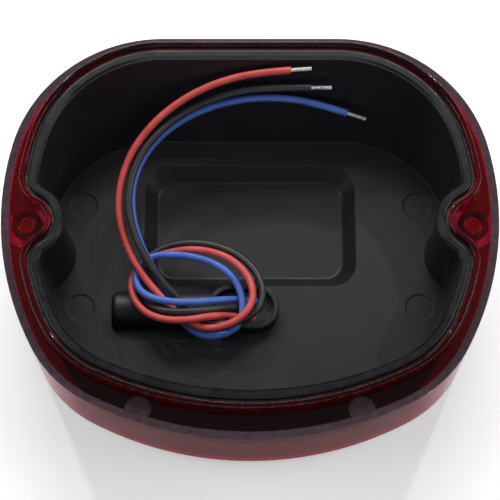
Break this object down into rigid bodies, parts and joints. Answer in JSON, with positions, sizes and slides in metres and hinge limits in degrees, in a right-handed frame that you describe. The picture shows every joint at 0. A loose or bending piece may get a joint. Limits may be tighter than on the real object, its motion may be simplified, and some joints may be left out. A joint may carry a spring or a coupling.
{
  "type": "motorcycle tail light",
  "caption": "Lay-down style LED tail light: red cup lens, black tub housing and a knotted wire pigtail, stored lens face down.",
  "frame": {"origin": "middle of the lens front face, on the surface it lies on, measured without the free wires", "axes": "+Z out of the mounting side, +X along the line of the two ear holes, +Y towards the flat side of the lens"},
  "size_m": [0.1542, 0.132, 0.0504],
  "materials": {
    "red_lens": "clear red moulded acrylic, polished",
    "clear_window": "clear moulded acrylic",
    "sealant": "cured black sealant",
    "black_housing": "black moulded ABS, fine satin texture",
    "board_laminate": "white solder mask on glass-fibre laminate",
    "chrome_reflector": "vacuum metallised plastic",
    "lamp_package": "white lamp body with clear silicone dome",
    "zinc_screw": "zinc plated",
    "capacitor_can": "sleeved aluminium can",
    "ceramic_chip": "glazed ceramic with tinned ends",
    "chip_black": "moulded epoxy",
    "solder": "smooth solder",
    "tinned_copper": "twisted and tinned strands",
    "red_insulation": "soft PVC insulation",
    "black_insulation": "soft PVC insulation",
    "blue_insulation": "soft PVC insulation"
  },
  "bodies": {
    "root": {"lens": "red_lens", "plate_window": "clear_window", "seal_bead": "sealant", "rear_housing": "black_housing", "led_board": "board_laminate", "reflector": "chrome_reflector", "running_leds": "lamp_package", "brake_leds": "lamp_package", "board_screws": "zinc_screw", "storage_capacitor": "capacitor_can", "resistors": "ceramic_chip", "protection_diodes": "chip_black", "current_regulators": "chip_black", "plate_board": "board_laminate", "plate_header": "chip_black", "plate_leds": "lamp_package", "outlet_seal": "sealant", "solder_joints": "solder", "inner_lead_red": "tinned_copper", "inner_lead_black": "tinned_copper", "inner_lead_blue": "tinned_copper", "wire_red": "red_insulation", "wire_black": "black_insulation", "wire_blue": "blue_insulation", "strands_red": "tinned_copper", "strands_black": "tinned_copper", "strands_blue": "tinned_copper"}
  },
  "joints": []
}
